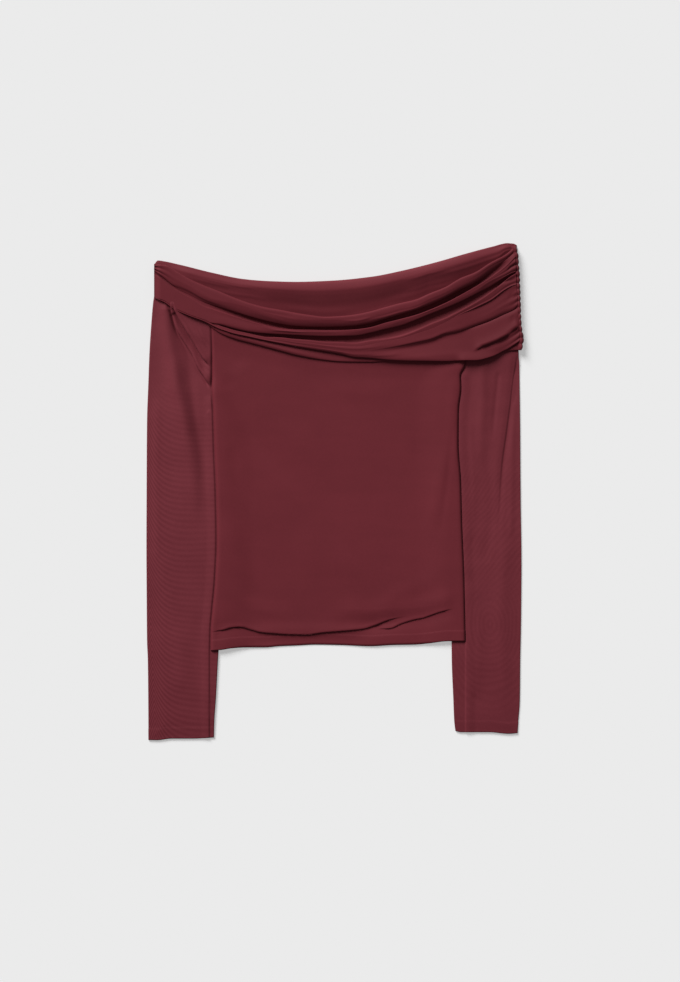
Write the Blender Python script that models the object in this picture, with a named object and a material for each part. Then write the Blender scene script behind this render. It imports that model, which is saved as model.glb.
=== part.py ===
# An off-the-shoulder draped top in stretch mesh, laid flat and seen from straight above.
# X runs to the picture's right, Y from the hem to the neckline, Z up from the surface.
# All sizes are in millimetres until a mesh is made.

import bpy
import numpy as np

# Thickness of the cloth's wall, the step from one layer's middle to the next, and a seam's gap.
WALL = 1.1
LAYER = 1.8
SEAM_GAP = 0.3

# The lowest layer's middle height.
FLOOR = WALL / 2

# Heights of the drape's folds above the front layer.
ROLL_HEIGHT = 8.4
RIDGE_1 = 6.4
RIDGE_2 = 7.0
CREASE_FLOOR = 2.3
EDGE_HEIGHT = 4.3

# Where each sleeve's tube closes below the armhole.
UNDERARM_RIGHT = 128.0
UNDERARM_LEFT = 160.0

# Gathers along the side channel, and how far their edge swells.
GATHERS = 17
GATHER_DEPTH = 0.9

# Sections of the neckline band, from the picture's left to its right.
# under is the edge of the layer below the drape, and behind is the hidden lower edge at the back.
BAND_COLUMNS = ("x", "top", "crease_1", "crease_2", "crease_3", "crease_4", "edge", "under", "behind")
BAND = [
    (-225.5, 284.5, 268.5, 258.5, 253.0, 247.5, 242.0, 241.0, 246.0),
    (-213.0, 283.5, 263.5, 253.5, 247.5, 242.0, 236.0, 235.0, 239.0),
    (-200.5, 276.0, 257.0, 246.0, 240.5, 235.0, 229.0, 228.0, 232.0),
    (-181.5, 266.5, 245.5, 233.5, 229.0, 224.0, 219.5, 218.5, 222.0),
    (-163.0, 258.0, 234.5, 223.5, 219.5, 216.0, 212.0, 208.0, 214.0),
    (-144.0, 250.5, 226.5, 212.0, 210.4, 208.7, 207.0, 199.0, 208.0),
    (-119.0, 240.5, 218.5, 205.0, 203.2, 201.4, 199.5, 190.5, 200.0),
    (-88.0, 230.5, 209.0, 198.5, 196.0, 193.3, 190.5, 181.0, 192.0),
    (-56.5, 223.0, 204.5, 194.5, 190.5, 186.3, 182.0, 172.5, 185.0),
    (-25.5, 219.0, 203.5, 192.0, 186.5, 181.0, 175.5, 166.0, 180.0),
    (6.0, 218.0, 204.5, 191.0, 184.5, 178.0, 171.0, 161.0, 177.0),
    (43.5, 225.5, 211.5, 197.0, 186.5, 176.5, 165.5, 160.5, 175.0),
    (81.0, 236.0, 221.5, 207.0, 193.5, 182.5, 162.0, 163.5, 174.0),
    (118.5, 249.5, 234.5, 221.0, 207.5, 190.5, 160.0, 164.0, 174.0),
    (149.5, 263.0, 247.0, 235.5, 219.5, 199.0, 160.0, 167.0, 174.0),
    (174.5, 275.5, 262.0, 248.5, 230.5, 208.0, 163.0, 170.0, 174.5),
    (193.5, 286.0, 274.5, 259.0, 240.0, 215.5, 168.0, 173.0, 175.0),
    (208.5, 295.5, 286.0, 267.0, 249.5, 222.0, 174.0, 175.5, 176.0),
    (218.5, 302.0, 293.0, 271.5, 253.5, 227.0, 180.5, 176.5, 177.0),
    (226.0, 305.5, 297.0, 273.5, 254.5, 232.0, 187.0, 176.5, 178.0),
]

# The back's folded top edge, and the seam inside the back where the band meets the body.
BACK_TOP_COLUMNS = ("x", "top")
BACK_TOP = [
    (-226.6, 278.0), (-225.5, 284.5), (-221.5, 289.0), (-214.0, 288.0), (-194.0, 283.5), (-154.0, 273.5),
    (-114.0, 265.5), (-84.0, 263.0), (-49.0, 262.0), (-4.0, 263.5), (46.0, 268.5), (86.0, 276.5),
    (126.0, 286.5), (166.0, 298.0), (196.0, 306.0), (216.0, 310.5), (223.5, 308.5), (228.0, 306.0),
]
BACK_SEAM_COLUMNS = ("x", "seam")
BACK_SEAM = [
    (-226.0, 269.0), (-190.0, 254.0), (-161.5, 243.5), (-106.5, 234.0), (-44.0, 229.0), (-6.5, 230.5),
    (26.0, 233.0), (61.0, 236.5), (106.0, 243.5), (162.0, 256.0), (190.0, 269.0), (228.0, 288.0),
]

# The body's hem and its two sides.
HEM_COLUMNS = ("x", "y")
HEM = [
    (-155.5, -198.0), (-143.0, -197.0), (-129.0, -195.0), (-111.5, -194.0), (-88.0, -194.0),
    (-70.5, -192.5), (-46.5, -191.5), (-25.5, -190.5), (6.0, -191.0), (44.5, -192.5),
    (72.0, -191.0), (98.5, -190.5), (116.0, -189.0), (143.5, -186.0), (162.0, -186.0),
]
BODY_RIGHT_COLUMNS = ("y", "x")
BODY_RIGHT = [
    (-198.0, -155.5), (-173.0, -155.0), (-148.0, -153.0), (-110.5, -149.5), (-60.5, -147.5),
    (2.0, -148.5), (52.0, -150.5), (102.0, -152.0), (133.5, -154.0), (164.5, -153.5),
    (196.0, -154.0), (217.0, -156.0), (249.5, -163.0), (270.0, -168.0),
]
BODY_LEFT_COLUMNS = ("y", "x")
BODY_LEFT = [
    (-186.0, 162.5), (-113.0, 161.0), (-38.0, 158.0), (14.5, 156.5), (58.5, 153.5), (102.0, 154.0),
    (129.5, 157.0), (144.5, 156.5), (158.5, 161.5), (183.5, 158.5), (208.5, 159.5), (236.0, 161.5),
    (257.0, 164.0), (280.0, 167.0),
]

# Each sleeve's fold lines: the inner one runs under the body's side, the outer one is its far edge.
SLEEVE_COLUMNS = ("y", "x")
RIGHT_INNER = [
    (-311.0, -150.5), (-288.0, -150.0), (-258.0, -148.0), (-210.5, -145.5), (-185.5, -144.0),
    (-60.5, -143.0), (14.5, -143.0), (83.5, -144.5), (100.0, -148.5), (112.0, -153.0), (124.0, -156.0),
]
RIGHT_OUTER = [
    (-311.0, -233.7), (-260.5, -234.0), (-210.5, -234.5), (-185.5, -235.5), (-135.5, -236.0),
    (-60.5, -236.25), (14.5, -236.0), (89.5, -235.5), (133.5, -234.0), (174.5, -232.0),
    (212.0, -229.5), (239.5, -227.0), (247.0, -225.8), (258.5, -225.0), (290.0, -224.0),
]
LEFT_INNER = [
    (-303.0, 149.5), (-285.5, 147.5), (-260.5, 146.5), (-210.5, 144.5), (-160.5, 144.0),
    (-85.5, 143.5), (-10.5, 143.0), (64.5, 142.0), (114.5, 142.0), (134.0, 145.0), (146.0, 151.0),
    (158.0, 162.5),
]
LEFT_OUTER = [
    (-303.0, 228.0), (-288.0, 229.0), (-260.5, 231.0), (-210.5, 231.5), (-160.5, 232.5),
    (-85.5, 233.0), (-10.5, 232.0), (64.5, 231.5), (114.5, 231.0), (158.5, 230.5), (180.0, 228.5),
    (202.0, 226.5), (233.5, 224.5), (258.5, 223.0), (300.0, 219.5),
]
CUFF_COLUMNS = ("x", "y")
RIGHT_CUFF = [(-234.0, -310.2), (-223.0, -310.5), (-204.5, -308.5), (-179.5, -308.5), (-149.5, -307.0)]
LEFT_CUFF = [(149.0, -298.5), (157.0, -300.5), (192.0, -300.5), (217.0, -302.5), (229.0, -301.5)]

# The stitched line of the side channel and its outer edge.
CHANNEL_COLUMNS = ("y", "seam", "outer")
CHANNEL = [
    (176.5, 230.4, 233.4), (183.5, 230.6, 234.6), (191.0, 230.4, 235.6), (198.5, 230.0, 234.4),
    (207.0, 229.5, 233.0), (222.0, 228.6, 232.2), (237.0, 227.6, 231.8), (258.5, 226.4, 231.0),
    (274.5, 225.6, 230.4), (282.0, 225.4, 229.6), (297.0, 224.2, 228.6), (305.0, 222.6, 226.6),
]

# Creases and soft folds: three points of each one's bend, its half width and its height.
FOLD_COLUMNS = ("x0", "y0", "x1", "y1", "x2", "y2", "width", "height")
BODY_FOLDS = [
    (-152.0, -177.0, -122.0, -163.0, -93.0, -177.5, 5.0, 2.2),
    (-96.0, -177.0, -20.0, -185.0, 84.0, -156.5, 5.0, 2.4),
    (53.0, -173.0, 88.0, -170.0, 120.0, -156.0, 5.0, 2.0),
    (121.0, -153.0, 132.0, -151.0, 144.0, -146.5, 5.0, 1.4),
    (-154.0, 130.0, -148.0, 20.0, -150.0, -110.0, 7.0, 1.0),
    (156.0, 120.0, 150.0, 0.0, 160.0, -120.0, 7.0, 1.0),
]
RIGHT_SLEEVE_FOLDS = [
    (-204.5, 224.0, -192.0, 176.0, -156.5, 131.0, 6.0, 2.6),
    (-199.0, 228.0, -182.0, 184.0, -158.0, 158.0, 5.0, 1.8),
    (-217.0, 150.0, -219.0, 20.0, -215.0, -130.0, 9.0, 1.2),
    (-212.0, -290.0, -200.0, -284.0, -176.0, -288.0, 9.0, 1.0),
]
LEFT_SLEEVE_FOLDS = [
    (222.0, 172.0, 213.0, 80.0, 198.0, -36.0, 8.0, 1.8),
    (172.0, 140.0, 184.0, 70.0, 178.0, -20.0, 10.0, 1.2),
    (214.0, -60.0, 206.0, -160.0, 212.0, -250.0, 9.0, 1.0),
]

# The base colour of each piece, in linear light.
COLOURS = {
    "front_panel": (0.130, 0.020, 0.028, 1.0),
    "back_panel": (0.095, 0.015, 0.021, 1.0),
    "sleeve_right": (0.150, 0.028, 0.036, 1.0),
    "sleeve_left": (0.150, 0.027, 0.035, 1.0),
    "front_drape": (0.140, 0.021, 0.030, 1.0),
    "front_underlayer": (0.110, 0.016, 0.023, 1.0),
    "back_drape": (0.105, 0.015, 0.022, 1.0),
    "side_gather": (0.120, 0.018, 0.026, 1.0),
}


def column(table, names, name):
    return np.array([row[names.index(name)] for row in table], dtype=float)


# A smooth line through a table's values that never overshoots between them.
class Line:
    def __init__(self, keys, values):
        order = np.argsort(keys)
        self.k = np.asarray(keys, dtype=float)[order]
        self.v = np.asarray(values, dtype=float)[order]
        step = np.diff(self.v) / np.diff(self.k)
        self.m = np.zeros_like(self.v)
        self.m[0] = step[0]
        self.m[-1] = step[-1]
        together = step[:-1] * step[1:] > 0
        total = np.where(together, step[:-1] + step[1:], 1.0)
        self.m[1:-1] = np.where(together, 2 * step[:-1] * step[1:] / total, 0.0)

    def __call__(self, key):
        q = np.clip(key, self.k[0], self.k[-1])
        i = np.clip(np.searchsorted(self.k, q, side="right") - 1, 0, len(self.k) - 2)
        h = self.k[i + 1] - self.k[i]
        t = (q - self.k[i]) / h
        a = (1 + 2 * t) * (1 - t) ** 2 * self.v[i] + t * (1 - t) ** 2 * h * self.m[i]
        b = t * t * (3 - 2 * t) * self.v[i + 1] + t * t * (t - 1) * h * self.m[i + 1]
        return a + b


def line(table, names, key, value):
    return Line(column(table, names, key), column(table, names, value))


band = {name: line(BAND, BAND_COLUMNS, "x", name) for name in BAND_COLUMNS[1:]}
back_top = line(BACK_TOP, BACK_TOP_COLUMNS, "x", "top")
back_seam = line(BACK_SEAM, BACK_SEAM_COLUMNS, "x", "seam")
hem = line(HEM, HEM_COLUMNS, "x", "y")
body_right = line(BODY_RIGHT, BODY_RIGHT_COLUMNS, "y", "x")
body_left = line(BODY_LEFT, BODY_LEFT_COLUMNS, "y", "x")
right_inner = line(RIGHT_INNER, SLEEVE_COLUMNS, "y", "x")
right_outer = line(RIGHT_OUTER, SLEEVE_COLUMNS, "y", "x")
left_inner = line(LEFT_INNER, SLEEVE_COLUMNS, "y", "x")
left_outer = line(LEFT_OUTER, SLEEVE_COLUMNS, "y", "x")
right_cuff = line(RIGHT_CUFF, CUFF_COLUMNS, "x", "y")
left_cuff = line(LEFT_CUFF, CUFF_COLUMNS, "x", "y")
channel_seam = line(CHANNEL, CHANNEL_COLUMNS, "y", "seam")
channel_outer = line(CHANNEL, CHANNEL_COLUMNS, "y", "outer")


def smooth(t):
    t = np.clip(t, 0.0, 1.0)
    return t * t * (3 - 2 * t)


# The front neckline seam lies under the drape's roll.
def front_seam(x):
    return band["top"](x) - 0.6 * (band["top"](x) - band["crease_1"](x))


# Height of a set of soft folds at a point, each a ridge along a bend through three points.
def folds(table, x, y):
    total = np.zeros(np.broadcast(x, y).shape)
    steps = np.linspace(0, 1, 33)
    for row in table:
        x0, y0, x1, y1, x2, y2, width, height = row
        bx = (1 - steps) ** 2 * x0 + 2 * steps * (1 - steps) * x1 + steps**2 * x2
        by = (1 - steps) ** 2 * y0 + 2 * steps * (1 - steps) * y1 + steps**2 * y2
        gap = (x[..., None] - bx) ** 2 + (y[..., None] - by) ** 2
        nearest = steps[np.argmin(gap, axis=-1)]
        taper = np.sin(np.pi * np.clip(nearest, 0.04, 0.96)) ** 0.6
        total += height * taper * np.exp(-np.min(gap, axis=-1) / width**2)
    return total


# The back layer rests on the surface and steps up over the band's outer layer behind it.
def back_level(x, y):
    return FLOOR + LAYER * smooth((y - (band["behind"](x) - 37.0)) / 36.0)


def front_level(x, y):
    return back_level(x, y) + LAYER


# The body's sides lie on the sleeves' inner edges below the underarms.
def over_sleeves(x, y):
    right = smooth((right_inner(y) + 13.0 - x) / 12.0) * smooth((UNDERARM_RIGHT + 16.0 - y) / 18.0)
    left = smooth((x - (left_inner(y) - 13.0)) / 12.0) * smooth((UNDERARM_LEFT + 16.0 - y) / 18.0)
    return 2 * LAYER * np.maximum(right, left)


def ground(x, y):
    return front_level(x, y) + over_sleeves(x, y)


# A net of points between two side lines. Its rows start parallel to the lower edge, go on at
# fixed levels that other pieces share, and end parallel to the upper edge.
def net(near, far, lower, upper, across, steps, levels, ends):
    rows = [lambda q, d=d: lower(q) + d for d in steps]
    rows += [lambda q, d=d: np.full_like(q, d) for d in levels]
    rows += [lambda q, d=d: levels[-1] + (upper(q) - levels[-1]) * d for d in ends]
    xs = []
    ys = []
    for row in rows:
        x = near(levels[0]) + (far(levels[0]) - near(levels[0])) * across
        for _ in range(6):
            y = row(x)
            x = near(y) + (far(y) - near(y)) * across
        xs.append(x)
        ys.append(row(x))
    return np.array(xs).T, np.array(ys).T


def grid_faces(columns, rows, start=0):
    faces = []
    for i in range(columns - 1):
        for j in range(rows - 1):
            a = start + i * rows + j
            b = start + (i + 1) * rows + j
            faces.append((a, b, b + 1, a + 1))
    return faces


def clear():
    for item in list(bpy.data.objects):
        bpy.data.objects.remove(item, do_unlink=True)


# A closed wall round a middle surface, with a rim along each free edge.
def thicken(name, points, faces, wall=WALL):
    points = np.asarray(points, dtype=float)
    count = len(points)
    normals = np.zeros_like(points)
    for face in faces:
        corner = points[list(face)]
        across = np.cross(corner[2] - corner[0], corner[-1] - corner[1])
        for index in face:
            normals[index] += across
    normals /= np.maximum(np.linalg.norm(normals, axis=1, keepdims=True), 1e-12)
    shell = np.vstack([points + normals * wall / 2, points - normals * wall / 2])
    edges = {}
    for face in faces:
        for a, b in zip(face, face[1:] + face[:1]):
            edges[(a, b)] = edges.get((a, b), 0) + 1
    solid = [tuple(face) for face in faces]
    solid += [tuple(count + index for index in reversed(face)) for face in faces]
    solid += [(b, a, a + count, b + count) for a, b in edges if (b, a) not in edges]
    mesh = bpy.data.meshes.new(name)
    mesh.from_pydata((shell * 0.001).tolist(), [], solid)
    mesh.update()
    item = bpy.data.objects.new(name, mesh)
    bpy.context.scene.collection.objects.link(item)
    material = bpy.data.materials.new(name + "_cloth")
    material.use_nodes = True
    shader = material.node_tree.nodes["Principled BSDF"]
    shader.inputs["Base Color"].default_value = COLOURS[name]
    shader.inputs["Roughness"].default_value = 0.8
    material.diffuse_color = COLOURS[name]
    mesh.materials.append(material)
    return item


# The body's columns lie close together at its sides, where it climbs on the sleeves.
def body_columns(count):
    side = np.array([0.0, 5.0, 10.0, 15.0, 20.0, 26.0, 32.0]) / 310.0
    middle = np.linspace(side[-1], 1 - side[-1], count + 1)
    return np.concatenate([side[:-1], middle, 1 - side[:-1][::-1]])


BODY_LEVELS = [-125.0, -95.0, -60.0, -20.0, 20.0, 60.0, 95.0, 112.0, 125.0, 137.0, 149.0, 160.0, 172.0, 186.0, 200.0]
HEM_STEPS = [0.0, 5.0, 9.0, 12.5, 16.0, 19.5, 23.0, 27.0, 31.0, 36.0, 43.0]


def front_panel():
    across = body_columns(16)
    neck = lambda q: front_seam(q) - SEAM_GAP
    x, y = net(body_right, body_left, hem, neck, across, HEM_STEPS, BODY_LEVELS, [0.5, 1.0])
    z = front_level(x, y) + 1.15 * over_sleeves(x, y) + folds(BODY_FOLDS, x, y)
    points = np.stack([x, y, z], axis=-1).reshape(-1, 3)
    return thicken("front_panel", points, grid_faces(*x.shape))


def back_panel():
    across = body_columns(8)
    neck = lambda q: back_seam(q) - SEAM_GAP
    lower = lambda q: hem(q) - 0.4
    x, y = net(body_right, body_left, lower, neck, across, [0.0, 22.0, 43.0], BODY_LEVELS, [0.5, 1.0])
    z = back_level(x, y) + over_sleeves(x, y)
    points = np.stack([x, y, z], axis=-1).reshape(-1, 3)
    return thicken("back_panel", points, grid_faces(*x.shape))


# Columns across a sleeve's front and back walls, as shares of its width.
SLEEVE_FRONT = (0.0, 0.06, 0.14, 0.23, 0.32, 0.41, 0.5, 0.6, 0.7, 0.8, 0.91, 1.0)
SLEEVE_BACK = (0.0, 0.25, 0.5, 0.75, 1.0)


# A flattened tube: a front and a back wall, joined round the outer edge all the way up and
# round the inner edge as far as the underarm, where the armhole opens.
def sleeve(name, inner, outer, side, cuff, underarm, table, turn):
    steps = [0.0, 12.0, 30.0]
    levels = [-230.0, -180.0, -120.0, -60.0, 0.0, 50.0, 90.0]
    levels += list(np.linspace(112.0, 200.0, 8))
    levels += [212.0] if turn < 0 else [215.0, 230.0, 242.0]
    inset = (LAYER + WALL) / 2

    def near(y):
        closed = smooth((underarm + 8.0 - y) / 8.0)
        tube = inner(np.minimum(y, underarm)) + turn * inset
        open_edge = side(y) + turn * (SEAM_GAP + 0.5)
        return closed * tube + (1 - closed) * open_edge

    def far(y):
        return outer(y) - turn * inset

    walls = []
    for seam, across in ((front_seam, np.array(SLEEVE_FRONT)), (back_seam, np.array(SLEEVE_BACK))):
        neck = lambda q, f=seam: f(q) - 4 * SEAM_GAP
        walls.append(net(near, far, cuff, neck, across, steps, levels, [0.35, 0.7, 1.0]))
    (fx, fy), (kx, ky) = walls
    rows = fx.shape[1]
    front = np.stack([fx, fy, front_level(fx, fy) + folds(table, fx, fy)], axis=-1)
    back = np.stack([kx, ky, back_level(kx, ky)], axis=-1)
    closed_rows = int(np.sum(fy[0] <= underarm))
    angles = np.radians([45.0, 90.0, 135.0])

    # Points round a fold between the two walls, away from the tube's middle.
    def round_edge(upper, lower, away, last):
        ring = []
        for angle in angles:
            mix = (1 - np.cos(angle)) / 2
            point = upper[:last] * (1 - mix) + lower[:last] * mix
            bulge = np.sin(angle) * (upper[:last, 2] - lower[:last, 2]) / 2
            point[:, 0] += away * bulge
            ring.append(point)
        return ring

    outer_ring = round_edge(front[-1], back[-1], turn, rows)
    inner_ring = round_edge(front[0], back[0], -turn, closed_rows)
    points = list(front.reshape(-1, 3)) + list(back.reshape(-1, 3))
    second = len(front) * rows
    faces = grid_faces(len(front), rows)
    faces += [tuple(reversed(face)) for face in grid_faces(len(back), rows, second)]

    def bridge(first, last, middle, count):
        nonlocal points, faces
        strips = [first]
        for ring in middle:
            start = len(points)
            points += list(ring)
            strips.append(list(range(start, start + count)))
        strips.append(last)
        for a, b in zip(strips[:-1], strips[1:]):
            faces += [(a[j], b[j], b[j + 1], a[j + 1]) for j in range(count - 1)]

    front_edge = (len(front) - 1) * rows
    back_edge = second + (len(back) - 1) * rows
    far_front = list(range(front_edge, front_edge + rows))
    far_back = list(range(back_edge, back_edge + rows))
    bridge(far_front, far_back, outer_ring, rows)
    near_front = list(range(closed_rows))
    near_back = list(range(second, second + closed_rows))
    bridge(near_back, near_front, inner_ring[::-1], closed_rows)
    if turn < 0:
        faces = [tuple(reversed(face)) for face in faces]
    return thicken(name, points, faces)


# The drape's section at one place across: y and height above the front layer, from the seam
# inside the roll, round the roll, down over two long creases and two short ones to its edge.
def drape_section(x):
    top = band["top"](x)
    c1 = band["crease_1"](x)
    c2 = band["crease_2"](x)
    c3 = band["crease_3"](x)
    c4 = band["crease_4"](x)
    edge = band["edge"](x)
    roll = top - c1
    rise = ROLL_HEIGHT * min(1.0, roll / 13.0)
    wide = float(smooth((c2 - edge) / 18.0))
    deep3 = float(smooth((x - 70.0) / 70.0))
    deep4 = float(smooth((x - 10.0) / 60.0))
    low2 = CREASE_FLOOR + 1.2 * (1 - wide)
    ridge2 = EDGE_HEIGHT + (RIDGE_2 - EDGE_HEIGHT) * wide
    swell = EDGE_HEIGHT + 2.6 * wide
    low3 = swell * (1 - deep3) + (CREASE_FLOOR + 1.0) * deep3
    low4 = swell * (1 - deep4) + (EDGE_HEIGHT + 0.1) * deep4
    keys = [
        (front_seam(x) + SEAM_GAP, 0.0),
        (top - 0.28 * roll, 0.35),
        (top - 0.07 * roll, 0.28 * rise),
        (top, 0.56 * rise),
        (top - 0.10 * roll, 0.84 * rise),
        (top - 0.36 * roll, rise),
        (top - 0.68 * roll, 0.80 * rise),
        (c1 + 0.10 * roll, 0.45 * rise),
        (c1, CREASE_FLOOR),
        (c1 - 0.18 * (c1 - c2), 0.70 * RIDGE_1),
        (c1 - 0.48 * (c1 - c2), RIDGE_1),
        (c1 - 0.80 * (c1 - c2), 0.72 * RIDGE_1),
        (c2, low2),
        (c2 - 0.28 * (c2 - c3), 0.35 * low2 + 0.65 * ridge2),
        (c2 - 0.60 * (c2 - c3), ridge2),
        (c3, low3),
        (c3 - 0.45 * (c3 - c4), swell),
        (c4, low4),
        (c4 - 0.35 * (c4 - edge), swell),
        (c4 - 0.75 * (c4 - edge), EDGE_HEIGHT + 1.4 * wide),
        (edge + 0.5, EDGE_HEIGHT),
    ]
    return np.array(keys, dtype=float)


# Rows along the section, closest together round the roll and in the creases.
def drape_rows():
    return np.concatenate([np.linspace(0, 8, 12), np.linspace(8.9, 20, 14)])


def front_drape():
    steps = drape_rows()
    left = np.array([-226.0, -224.6, -222.0, -217.5])
    middle = np.linspace(-209.0, 210.0, 32)
    right = np.array([216.0, 220.5, 223.5, 225.6])
    xs = np.concatenate([left, middle, right])
    points = []
    for x in xs:
        keys = drape_section(x)
        index = np.arange(len(keys))
        y = Line(index, keys[:, 0])(steps)
        h = Line(index, keys[:, 1])(steps)
        end = float(smooth((x + 226.5) / 9.0))
        h = h * (0.42 + 0.58 * end)
        near = float(smooth((x - 205.0) / 20.6))
        flat = np.where(steps > 7.5, near * 0.75, 0.0)
        h = h * (1 - flat) + (EDGE_HEIGHT + 0.6) * flat
        px = x + (channel_seam(y) - SEAM_GAP - 225.6) * near
        points += list(np.stack([px, y, ground(px, y) + h], axis=-1))
    faces = grid_faces(len(xs), len(steps))
    return thicken("front_drape", points, [tuple(reversed(face)) for face in faces])


# The layer below the drape, whose lower edge shows along the left and at the right corner.
def front_underlayer():
    u = np.concatenate([np.linspace(-221.0, 216.0, 25), [223.0, 229.4]])
    v = np.linspace(0, 1, 4)
    points = []
    for x in u:
        low = band["under"](x)
        high = np.maximum(band["edge"](x), low) + 9.0
        y = low + (high - low) * v
        points += list(np.stack([np.full_like(y, x), y, ground(x, y) + LAYER + 0.3], axis=-1))
    return thicken("front_underlayer", points, grid_faces(len(u), len(v)))


# The back half of the band: up from its hidden lower edge, round the top and down inside.
def back_drape():
    xs = np.concatenate([[-226.0, -224.9, -222.0, -217.0], np.linspace(-208, 212, 22), [219.0, 223.0]])
    angles = np.radians([0.0, 45.0, 90.0, 135.0, 180.0])
    points = []
    for x in xs:
        low = band["behind"](x)
        turn = back_top(x) - (LAYER + WALL) / 2
        ends = float(smooth((abs(x) - 203.0) / 10.0))
        inside = back_seam(x) + ends * max(0.0, front_seam(x) - back_seam(x))
        inside = min(inside, turn - 3.0) + SEAM_GAP
        up = low + (turn - low) * np.linspace(0, 1, 4)[:-1]
        down = turn + (inside - turn) * np.linspace(0, 1, 4)[1:]
        y = np.concatenate([up, turn + LAYER / 2 * np.sin(angles), down])
        z = np.concatenate(
            [np.full(3, FLOOR), FLOOR + LAYER / 2 * (1 - np.cos(angles)), np.full(3, FLOOR + LAYER)]
        )
        points += list(np.stack([np.full_like(y, x), y, z], axis=-1))
    return thicken("back_drape", points, grid_faces(len(xs), 11))


# The narrow channel at the side, gathered into scallops, from its seam round the edge and under.
def side_gather():
    rows = GATHERS * 4 + 1
    t = np.linspace(0, 1, rows)
    y = 176.8 + (304.0 - 176.8) * t
    wave = 0.5 - 0.5 * np.cos(2 * np.pi * GATHERS * t)
    seam = channel_seam(y)
    outer = channel_outer(y) - WALL / 2 - GATHER_DEPTH * (1 - wave)
    level = ground(seam, y)
    across = [
        (seam + SEAM_GAP, level + EDGE_HEIGHT + 0.6 * wave),
        (seam * 0.5 + outer * 0.5, level + EDGE_HEIGHT - 0.1 + 1.3 * wave),
        (outer - 0.4, level + 1.9 + 0.6 * wave),
        (outer, level * 0.6 + 1.2),
        (outer - 0.6, np.full(rows, 2.6)),
        (outer - 2.0, np.full(rows, 1.9)),
    ]
    points = []
    for x, z in across:
        points += list(np.stack([x, y, z], axis=-1))
    return thicken("side_gather", points, grid_faces(len(across), rows))


clear()
pieces = [
    back_drape(),
    back_panel(),
    sleeve(
        "sleeve_right", right_inner, right_outer, body_right, right_cuff,
        UNDERARM_RIGHT, RIGHT_SLEEVE_FOLDS, -1,
    ),
    sleeve(
        "sleeve_left", left_inner, left_outer, body_left, left_cuff,
        UNDERARM_LEFT, LEFT_SLEEVE_FOLDS, 1,
    ),
    front_panel(),
    front_underlayer(),
    front_drape(),
    side_gather(),
]

# The whole is centred on its own middle, and the lowest point rests at zero.
low = np.full(3, 1e9)
high = -low
for piece in pieces:
    for vertex in piece.data.vertices:
        low = np.minimum(low, vertex.co)
        high = np.maximum(high, vertex.co)
shift = np.array([-(low[0] + high[0]) / 2, -(low[1] + high[1]) / 2, -low[2]])
for piece in pieces:
    for vertex in piece.data.vertices:
        vertex.co = tuple(np.array(vertex.co) + shift)
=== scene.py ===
import math

import bpy
import numpy as np
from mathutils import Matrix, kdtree


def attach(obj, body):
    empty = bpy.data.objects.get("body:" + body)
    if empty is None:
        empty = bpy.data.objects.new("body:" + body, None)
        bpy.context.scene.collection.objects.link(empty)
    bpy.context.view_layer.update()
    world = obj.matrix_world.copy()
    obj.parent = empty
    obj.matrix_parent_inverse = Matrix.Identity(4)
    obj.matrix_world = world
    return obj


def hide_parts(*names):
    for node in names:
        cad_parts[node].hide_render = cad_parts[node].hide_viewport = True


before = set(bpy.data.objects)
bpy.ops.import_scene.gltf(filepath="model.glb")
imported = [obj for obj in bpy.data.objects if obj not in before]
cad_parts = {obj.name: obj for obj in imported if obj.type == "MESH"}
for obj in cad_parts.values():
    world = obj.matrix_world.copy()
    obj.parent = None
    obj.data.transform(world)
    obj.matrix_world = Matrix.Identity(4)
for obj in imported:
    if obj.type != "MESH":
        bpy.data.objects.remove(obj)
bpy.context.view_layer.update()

# Lengths are in millimetres up to the point where a mesh is made.
# X runs to the picture's right, Y from the hem to the neckline, Z up.
cloth = {
    "wall": 0.5,  # how thick each layer of mesh is drawn
    "layer": 1.8,  # from one layer's middle to the next, as in the solids
    "floorMiddle": 0.3,  # how high the lowest layer's middle lies
    "underarmRight": 128,  # up to here the sleeve on the picture's left is closed
    "underarmLeft": 160,  # and the one on its right up to here
}


# A smooth line through a table's values that never overshoots between them.
class SmoothLine:
    def __init__(self, keys, values):
        order = np.argsort(keys)
        self.keys = np.asarray(keys, dtype=float)[order]
        self.values = np.asarray(values, dtype=float)[order]
        step = np.diff(self.values) / np.diff(self.keys)
        self.slope = np.zeros_like(self.values)
        self.slope[0] = step[0]
        self.slope[-1] = step[-1]
        together = step[:-1] * step[1:] > 0
        total = np.where(together, step[:-1] + step[1:], 1)
        self.slope[1:-1] = np.where(together, 2 * step[:-1] * step[1:] / total, 0)

    def __call__(self, key):
        q = np.clip(key, self.keys[0], self.keys[-1])
        i = np.clip(np.searchsorted(self.keys, q, side="right") - 1, 0, len(self.keys) - 2)
        h = self.keys[i + 1] - self.keys[i]
        t = (q - self.keys[i]) / h
        start = (1 + 2 * t) * (1 - t) ** 2 * self.values[i] + t * (1 - t) ** 2 * h * self.slope[i]
        end = t * t * (3 - 2 * t) * self.values[i + 1] + t * t * (t - 1) * h * self.slope[i + 1]
        return start + end


def lineThrough(points, value=1):
    return SmoothLine([p[0] for p in points], [p[value] for p in points])


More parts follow.
